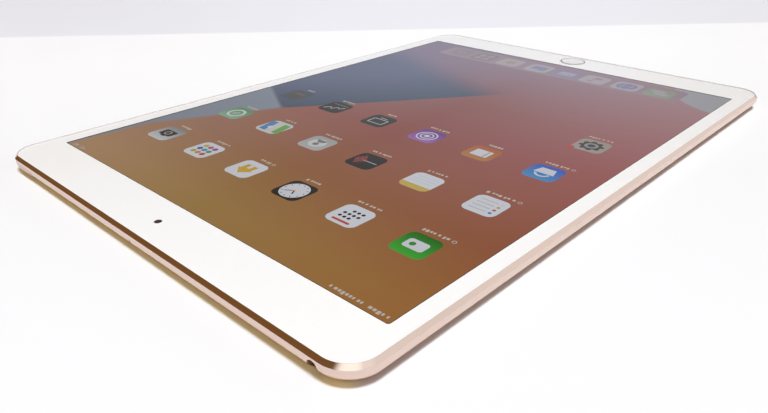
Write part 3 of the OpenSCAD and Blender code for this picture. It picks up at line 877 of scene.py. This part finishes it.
def draw_notes(p, x, y):
    header = tile_outline(x, y, TILE, TILE, TILE_CORNER)
    header = [(px, max(py, y + 2.8)) for px, py in header]
    p.add(header, lit("notes_yellow", (0.44, 0.30, 0.05), (0.47, 0.34, 0.08)), 2)
    for i in range(3):
        p.add(bar(x, y + 0.6 - 1.9 * i, 8.6, 0.22), grey(0.45), 2)


def draw_wave(p, x, y):
    p.add(bar(x - 1.6, y, 6.6, 0.28), white(), 2)
    for i, tall in enumerate((1.6, 3.4, 5.6, 7.4, 4.6, 2.2)):
        p.add(bar(x + 0.4 + 0.8 * i, y, tall, 0.42, 90), lit("wave_red", (0.34, 0.05, 0.06)), 3)


def draw_contact(p, x, y):
    p.add(disc(x, y, 3.6, 36), grey(0.50), 2)
    p.add(disc(x, y + 0.9, 1.25, 24), grey(0.16), 3)
    p.add(arc(x, y - 3.0, 2.3, 0, 180, 16), grey(0.16), 3)


def draw_map(p, x, y):
    half = TILE / 2 - 0.4
    for i, colour in enumerate(((0.13, 0.33, 0.08), (0.48, 0.50, 0.45), (0.07, 0.20, 0.42))):
        low = -half + i * (2 * half / 3)
        high = low + 2 * half / 3 - 0.3
        lean = 1.0
        p.add([(x + low + lean, y - 4.4), (x + high + lean, y - 4.4), (x + high - lean, y + 4.4),
               (x + low - lean, y + 4.4)], lit("map_%d" % i, colour), 2)
    p.add(disc(x + 1.4, y + 0.9, 1.2, 24), white(), 3)


def draw_round(p, x, y):
    p.add(disc(x, y, 4.0, 40), white(), 2, disc(x, y, 2.9, 40))
    p.add(bar(x, y, 3.2, 0.7, 45), white(), 2)


def draw_basket(p, x, y):
    p.add([(x - 2.6, y - 3.6), (x + 2.6, y - 3.6), (x + 3.7, y + 0.6), (x - 3.7, y + 0.6)], white(), 2)
    p.add(stroke(arc(x, y + 0.6, 2.5, 12, 168, 14), 0.8), white(), 3)


def draw_book(p, x, y):
    p.add(tile_outline(x, y, 6.8, 5.6, 0.6), white(), 2)
    p.add(bar(x - 1.9, y, 5.2, 0.4, 90), lit("spine", (0.36, 0.12, 0.03)), 3)


def draw_rings(p, x, y):
    for r in (4.2, 2.7):
        p.add(disc(x, y, r, 40), white(), 2, disc(x, y, r - 0.55, 40))
    p.add(disc(x, y, 1.1, 24), white(), 2)


def draw_monitor(p, x, y):
    p.add(tile_outline(x, y + 0.5, 7.6, 5.0, 0.7), grey(0.40), 2, tile_outline(x, y + 0.5, 6.6, 4.0, 0.4))
    p.add(bar(x, y - 3.2, 3.6, 0.5), grey(0.40), 2)


def draw_chart(p, x, y):
    line = [(-4.2, -1.6), (-2.6, 0.6), (-1.2, -0.6), (0.6, 2.2), (2.0, 0.6), (4.2, 3.0)]
    p.add(stroke([(x + a, y + b) for a, b in line], 0.5), white(), 2)
    p.add(bar(x, y - 3.4, 8.0, 0.25), grey(0.30), 2)


def draw_drawer(p, x, y):
    p.add(tile_outline(x, y + 0.9, 6.8, 4.6, 0.6), lit("bronze", (0.06, 0.055, 0.05)), 2)
    p.add(tile_outline(x, y - 1.9, 7.4, 2.0, 0.5), lit("bronze_light", (0.09, 0.085, 0.075)), 3)


def draw_gear(p, x, y):
    teeth = 8
    rim = []
    for i in range(teeth):
        for share, r in ((0.00, 4.5), (0.42, 4.5), (0.54, 3.6), (0.88, 3.6)):
            angle = 2 * math.pi * (i + share) / teeth
            rim.append((x + r * math.cos(angle), y + r * math.sin(angle)))
    p.add(rim, grey(0.05), 2)
    p.add(disc(x, y, 2.5, 40), grey(0.26), 3, disc(x, y, 1.4, 40))


def draw_bubble(p, x, y):
    p.add(bar(x - 1.0, y + 1.6, 6.4, 2.6), white(), 2)
    p.add(bar(x + 1.0, y - 1.8, 6.4, 2.6), white(), 2)


def draw_globe(p, x, y):
    p.add(disc(x, y, 4.6, 48), lit("globe_blue", (0.02, 0.16, 0.52)), 2)
    p.add(tile_outline(x, y, 4.4, 9.0, 2.1), white(), 3, tile_outline(x, y, 3.6, 8.2, 1.7))
    p.add(bar(x, y, 8.8, 0.4), white(), 3)


def draw_note(p, x, y):
    pink = lit("note_pink", (0.52, 0.16, 0.22))
    p.add(disc(x - 0.9, y - 2.2, 1.8, 28), pink, 2)
    p.add(bar(x + 0.6, y + 0.8, 6.4, 0.7, 90), pink, 3)
    p.add(bar(x + 1.7, y + 3.0, 3.0, 0.9, -35), pink, 4)


def draw_letter(p, x, y):
    p.add(tile_outline(x, y, 8.0, 5.6, 0.8), white(), 2)
    flap = stroke([(x - 3.4, y + 2.0), (x, y - 0.5), (x + 3.4, y + 2.0)], 0.45)
    p.add(flap, lit("letter_blue", (0.04, 0.14, 0.50)), 3)


def draw_folder(p, x, y):
    p.add(tile_outline(x, y - 0.5, 8.0, 5.4, 0.7), lit("folder_blue", (0.05, 0.20, 0.52)), 2)
    p.add(tile_outline(x - 2.2, y + 2.4, 3.4, 1.2, 0.4), lit("folder_blue", (0.05, 0.20, 0.52)), 2)


def draw_star(p, x, y):
    points = []
    for i in range(10):
        r = 3.9 if i % 2 == 0 else 1.8
        angle = math.radians(90 + 36 * i)
        points.append((x + r * math.cos(angle), y + r * math.sin(angle)))
    p.add(points, lit("star", (0.35, 0.25, 0.10)), 2)


def draw_grid(p, x, y):
    for i in range(4):
        p.add(tile_outline(x - 2.4 + 4.8 * (i % 2), y + 2.4 - 4.8 * (i // 2), 3.6, 3.6, 0.7), grey(0.30), 2)


# Each tile: name, drawing, its colour at the bottom and at the top, width of the word line under it
HOME_TILES = (
    ("video", draw_video, (0.004, 0.115, 0.004), (0.035, 0.33, 0.03), 9.5),
    ("calendar", draw_calendar, WHITE, WHITE, 9.0),
    ("clock", draw_clock, INK, INK, 5.5),
    ("home", draw_home, WHITE, WHITE, 5.0),
    ("pictures", draw_paints, WHITE, WHITE, 7.0),
    ("camera", draw_camera, (0.20, 0.21, 0.22), (0.47, 0.50, 0.53), 6.5),
    ("list", draw_list, WHITE, WHITE, 9.5),
    ("notes", draw_notes, WHITE, WHITE, 7.5),
    ("recorder", draw_wave, INK, INK, 8.0),
    ("contacts", draw_contact, (0.30, 0.30, 0.31), (0.36, 0.36, 0.37), 8.0),
    ("map", draw_map, (0.42, 0.48, 0.52), (0.46, 0.50, 0.50), 5.5),
    ("finder", draw_round, (0.08, 0.23, 0.10), (0.20, 0.38, 0.26), 6.5),
    ("shop", draw_basket, (0.03, 0.08, 0.44), (0.05, 0.23, 0.46), 9.0),
    ("books", draw_book, (0.36, 0.09, 0.02), (0.38, 0.16, 0.05), 6.5),
    ("radio", draw_rings, (0.11, 0.02, 0.23), (0.27, 0.10, 0.37), 8.0),
    ("player", draw_monitor, INK, (0.012, 0.012, 0.014), 4.0),
    ("chart", draw_chart, INK, INK, 6.0),
    ("drawer", draw_drawer, (0.035, 0.060, 0.080), (0.040, 0.070, 0.090), 5.0),
    ("settings", draw_gear, (0.30, 0.26, 0.24), (0.32, 0.28, 0.26), 8.5),
)

DOCK_Y = -94.7
DOCK_WIDTH = 128
DOCK_HEIGHT = 17
DOCK_TILE = 12.4
DOCK_TILES = (
    ("messages", draw_bubble, -54.0, (0.10, 0.36, 0.10), (0.22, 0.44, 0.20)),
    ("compass", draw_globe, -39.0, WHITE, WHITE),
    ("music", draw_note, -23.4, WHITE, WHITE),
    ("letters", draw_letter, -9.0, (0.04, 0.14, 0.50), (0.10, 0.22, 0.52)),
    ("files", draw_folder, 6.2, WHITE, WHITE),
    ("favourites", draw_star, 23.0, (0.48, 0.46, 0.40), (0.52, 0.50, 0.44)),
    ("games", draw_grid, 39.0, (0.02, 0.01, 0.02), (0.04, 0.02, 0.03)),
    ("tools", draw_gear, 53.6, (0.12, 0.12, 0.14), (0.14, 0.14, 0.16)),
)


def make_home_page():
    for i, (name, draw, low, high, width) in enumerate(HOME_TILES):
        x = COLUMNS[i % len(COLUMNS)]
        y = ROWS[i // len(COLUMNS)]
        tile = Picture("screen_tile_" + name)
        tile.add(tile_outline(x, y, TILE, TILE, TILE_CORNER), lit("tile_" + name, low, high), 1)
        draw(tile, x, y)
        tile.done()
        label = Picture("screen_words_" + name)
        line_y = y - WORDS_DROP
        blocks(label, x, line_y, width, i)
        if i in WITH_RING:
            ring_x = x - width / 2 - 1.7
            label.add(disc(ring_x, line_y, 0.75, 20), words(), 1, disc(ring_x, line_y, 0.5, 20))
        label.done()
    badge = Picture("screen_badge")
    spot = disc(COLUMNS[0] + TILE / 2 - 0.5, ROWS[3] + TILE / 2 - 0.4, 1.5, 28)
    badge.add(spot, lit("badge", (0.42, 0.07, 0.07)), 2)
    badge.done()


class Raised:
    """Passes shapes on to a picture, one layer up and washed out with the painted dimming."""

    def __init__(self, picture):
        self.picture = picture

    def add(self, outline, material, layer, hole=None):
        self.picture.add(outline, faint(material), layer + 1, hole)


def make_dock():
    dock = Picture("screen_dock")
    strip = lit("dock", (0.285, 0.215, 0.270), (0.305, 0.23, 0.275))
    dock.add(tile_outline(0, DOCK_Y - 0.3, DOCK_WIDTH, DOCK_HEIGHT, 3.6), strip, 1)
    dock.done()
    for name, draw, x, low, high in DOCK_TILES:
        tile = Picture("screen_dock_" + name)
        # the dock's tiles get the painted dimming of the screen seen at a slant
        ground = faint(lit("dock_" + name, low, high))
        tile.add(tile_outline(x, DOCK_Y, DOCK_TILE, DOCK_TILE, TILE_CORNER), ground, 2)
        draw(Raised(tile), x, DOCK_Y)
        tile.done()


STATUS_Y = 105.1


def make_status_line():
    line = Picture("screen_status_line")
    y = STATUS_Y
    blocks(line, -75.6, y, 5.8, 31)
    blocks(line, -65.0, y, 10.5, 32)
    mark = grey(0.40)
    for i in range(3):
        line.add(bar(69.6 + 1.1 * i, y, 0.9 + 0.45 * i, 0.5, 90), mark, 1)
    line.add(tile_outline(76.0, y, 3.0, 1.4, 0.4), mark, 1, tile_outline(76.0, y, 2.6, 1.0, 0.25))
    line.add(tile_outline(75.6, y, 1.5, 0.7, 0.15), mark, 1)
    line.done()


# ---------------------------------------------------------------- build

bpy.context.scene.view_settings.view_transform = "Standard"
make_camera()
dress_cad_nodes(finish_for_slots())
make_wallpaper()
make_home_page()
make_dock()
make_status_line()
make_floor()
make_world()
make_top_light()
